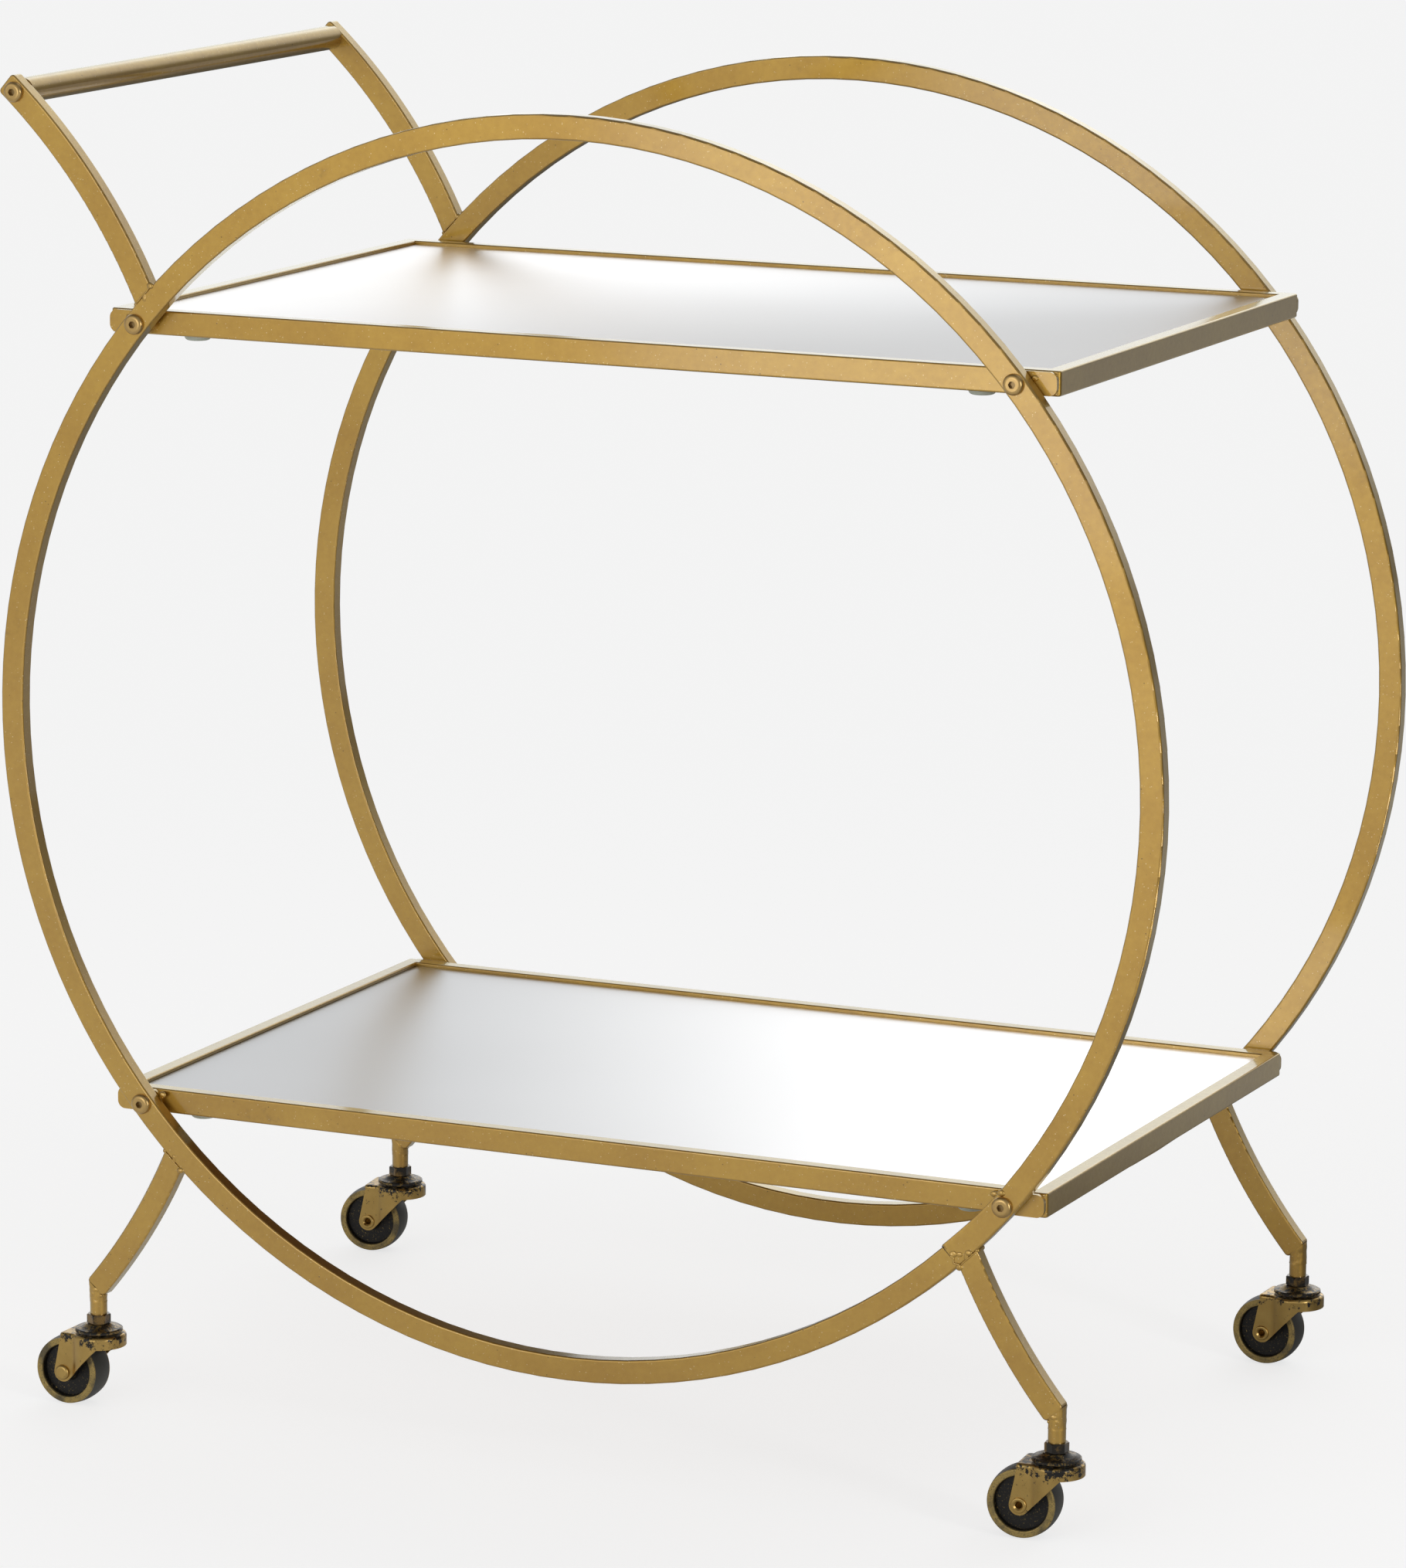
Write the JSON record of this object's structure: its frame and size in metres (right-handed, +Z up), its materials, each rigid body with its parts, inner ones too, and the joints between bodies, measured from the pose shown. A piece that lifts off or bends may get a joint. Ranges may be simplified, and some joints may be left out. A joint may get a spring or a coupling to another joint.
{
  "type": "bar cart",
  "caption": "Bar cart with ring-shaped tube sides, mirrored shelves, splayed legs on swivel casters and a push handle at one end.",
  "frame": {"origin": "on the floor, under the middle of the two side rings", "axes": "+Z up from the floor, +X from the handle end to the other end, +Y from the front ring to the back ring"},
  "size_m": [0.7719, 0.4506, 0.8365],
  "materials": {
    "gold_painted_steel": "antique gold metallic paint, satin, fine flake",
    "gold_bolts": "gold-coloured plated steel, satin",
    "zinc_steel": "zinc plated, dull",
    "mirror_glass": "silvered glass with polished edges",
    "backing_board": "dark fibreboard, matt",
    "clear_plastic_discs": "pale plastic, smooth",
    "antique_brass": "antique brass, worn dark at the edges",
    "blackened_stem": "blackened steel, slightly oily gloss",
    "ball_steel": "polished steel",
    "caster_wheel": "dark grey moulded wheel, brass-coloured paint on the face rings"
  },
  "bodies": {
    "root": {"side_ring_front": "gold_painted_steel", "side_ring_back": "gold_painted_steel", "handle_arm_front": "gold_painted_steel", "handle_arm_back": "gold_painted_steel", "leg_front_left": "gold_painted_steel", "leg_socket_front_left": "gold_painted_steel", "leg_front_right": "gold_painted_steel", "leg_socket_front_right": "gold_painted_steel", "leg_back_left": "gold_painted_steel", "leg_socket_back_left": "gold_painted_steel", "leg_back_right": "gold_painted_steel", "leg_socket_back_right": "gold_painted_steel", "handle_bar": "gold_painted_steel", "handle_bar_inserts": "zinc_steel", "handle_bolts": "gold_bolts", "top_shelf_rail_front": "gold_painted_steel", "top_shelf_rail_back": "gold_painted_steel", "top_shelf_rail_left": "gold_painted_steel", "top_shelf_rail_right": "gold_painted_steel", "top_shelf_mirror": "mirror_glass", "top_shelf_board": "backing_board", "top_shelf_lugs": "gold_painted_steel", "top_shelf_clamp_discs": "clear_plastic_discs", "top_shelf_bolts": "gold_bolts", "top_shelf_rivet_nuts": "zinc_steel", "lower_shelf_rail_front": "gold_painted_steel", "lower_shelf_rail_back": "gold_painted_steel", "lower_shelf_rail_left": "gold_painted_steel", "lower_shelf_rail_right": "gold_painted_steel", "lower_shelf_mirror": "mirror_glass", "lower_shelf_board": "backing_board", "lower_shelf_lugs": "gold_painted_steel", "lower_shelf_clamp_discs": "clear_plastic_discs", "lower_shelf_bolts": "gold_bolts", "lower_shelf_rivet_nuts": "zinc_steel", "caster_stem_front_left": "blackened_stem", "caster_cover_front_left": "antique_brass", "caster_stem_front_right": "blackened_stem", "caster_cover_front_right": "antique_brass", "caster_stem_back_left": "blackened_stem", "caster_cover_back_left": "antique_brass", "caster_stem_back_right": "blackened_stem", "caster_cover_back_right": "antique_brass"},
    "fork_front_left": {"caster_fork_front_left": "antique_brass", "caster_axle_front_left": "antique_brass", "caster_balls_front_left": "ball_steel"},
    "wheel_front_left": {"caster_wheel_front_left": "caster_wheel"},
    "fork_front_right": {"caster_fork_front_right": "antique_brass", "caster_axle_front_right": "antique_brass", "caster_balls_front_right": "ball_steel"},
    "wheel_front_right": {"caster_wheel_front_right": "caster_wheel"},
    "fork_back_left": {"caster_fork_back_left": "antique_brass", "caster_axle_back_left": "antique_brass", "caster_balls_back_left": "ball_steel"},
    "wheel_back_left": {"caster_wheel_back_left": "caster_wheel"},
    "fork_back_right": {"caster_fork_back_right": "antique_brass", "caster_axle_back_right": "antique_brass", "caster_balls_back_right": "ball_steel"},
    "wheel_back_right": {"caster_wheel_back_right": "caster_wheel"}
  },
  "joints": [
    {"name": "swivel_front_left", "type": "hinge", "parent": "root", "child": "fork_front_left", "pos_m": [-0.3243, -0.208, 0.0475], "axis": [0, 0, 1], "continuous": true},
    {"name": "roll_front_left", "type": "hinge", "parent": "fork_front_left", "child": "wheel_front_left", "pos_m": [-0.34329, -0.2075, 0.022], "axis": [0.0262, 0.9997, 0], "continuous": true},
    {"name": "swivel_front_right", "type": "hinge", "parent": "root", "child": "fork_front_right", "pos_m": [0.3243, -0.208, 0.0475], "axis": [0, 0, 1], "continuous": true},
    {"name": "roll_front_right", "type": "hinge", "parent": "fork_front_right", "child": "wheel_front_right", "pos_m": [0.30536, -0.20949, 0.022], "axis": [-0.0785, 0.9969, 0], "continuous": true},
    {"name": "swivel_back_left", "type": "hinge", "parent": "root", "child": "fork_back_left", "pos_m": [-0.3243, 0.208, 0.0475], "axis": [0, 0, 1], "continuous": true},
    {"name": "roll_back_left", "type": "hinge", "parent": "fork_back_left", "child": "wheel_back_left", "pos_m": [-0.34316, 0.20568, 0.022], "axis": [-0.1219, 0.9925, 0], "continuous": true},
    {"name": "swivel_back_right", "type": "hinge", "parent": "root", "child": "fork_back_right", "pos_m": [0.3243, 0.208, 0.0475], "axis": [0, 0, 1], "continuous": true},
    {"name": "roll_back_right", "type": "hinge", "parent": "fork_back_right", "child": "wheel_back_right", "pos_m": [0.3053, 0.20833, 0.022], "axis": [0.0175, 0.9998, 0], "continuous": true}
  ]
}
